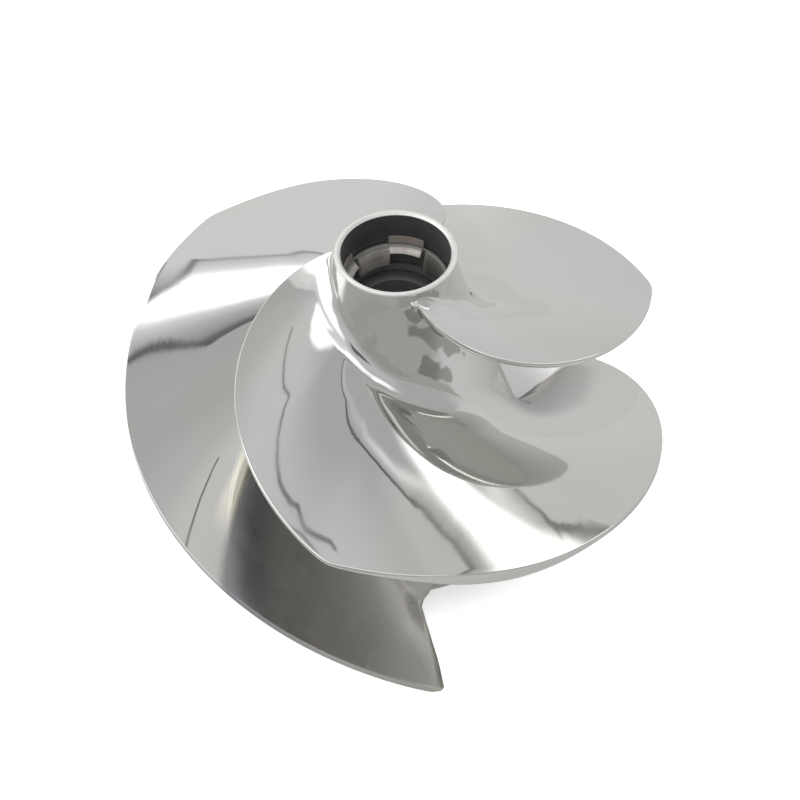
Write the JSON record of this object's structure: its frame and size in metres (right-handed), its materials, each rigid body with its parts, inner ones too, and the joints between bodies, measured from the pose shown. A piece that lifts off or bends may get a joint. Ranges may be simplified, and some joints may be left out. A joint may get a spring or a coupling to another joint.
{
  "type": "mixed-flow pump impeller",
  "caption": "Polished steel impeller with long swept blades on a hollow flared hub, driven through a castellated ring in its nose bore.",
  "frame": {"origin": "on the shaft axis in the rear plane, where the hub rim and the blades' trailing edges end", "axes": "+Z along the shaft axis towards the nose; seen from the front of the picture +X is to the right"},
  "size_m": [0.1549, 0.1549, 0.094],
  "materials": {
    "polished_steel": "mirror polished stainless steel",
    "machined_steel": "turned stainless steel with fine tool marks",
    "cast_steel": "as cast, dull grey"
  },
  "bodies": {
    "root": {"hub_shell": "polished_steel", "drive_ring": "machined_steel", "shaft_sleeve": "machined_steel", "sleeve_web_1": "cast_steel", "sleeve_web_2": "cast_steel", "sleeve_web_3": "cast_steel", "blade_1": "polished_steel", "blade_2": "polished_steel", "blade_3": "polished_steel"}
  },
  "joints": []
}
